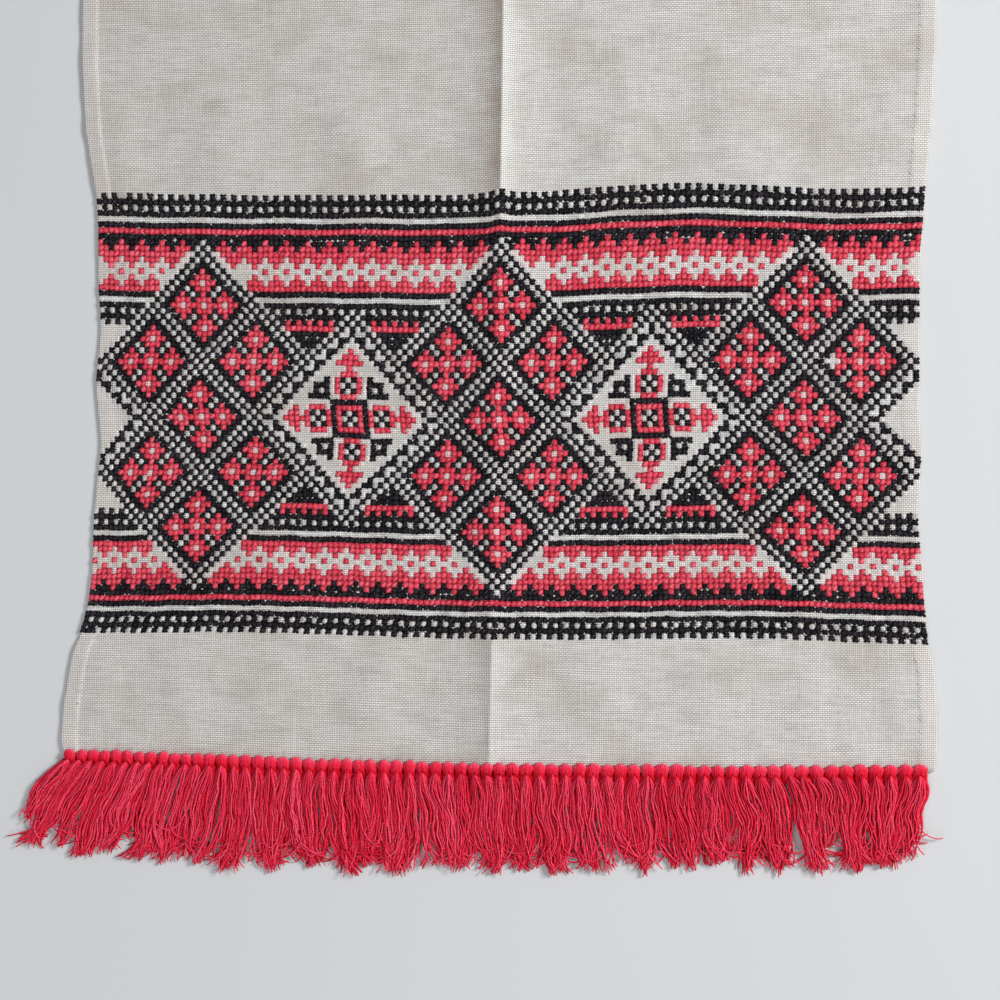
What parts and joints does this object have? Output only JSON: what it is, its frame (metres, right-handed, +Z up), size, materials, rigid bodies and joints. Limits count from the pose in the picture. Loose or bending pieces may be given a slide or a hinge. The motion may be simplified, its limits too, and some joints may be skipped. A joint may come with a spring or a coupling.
{
  "type": "rushnyk ritual towel",
  "caption": "Long narrow linen ritual towel lying flat, with a broad cross-stitched geometric band near one end, turned hems and a knotted yarn fringe",
  "frame": {"origin": "middle of the bounding box, on the surface that the towel lies on", "axes": "+X across the towel, +Y along it from the fringed end to the plain hemmed end, +Z up from the surface"},
  "size_m": [0.3682, 1.0038, 0.0052],
  "materials": {
    "linen": "matt natural linen in a plain weave",
    "fringe_yarn": "matt red yarn"
  },
  "bodies": {
    "root": {"linen_cloth": "linen", "knotted_fringe": "fringe_yarn"}
  },
  "joints": []
}
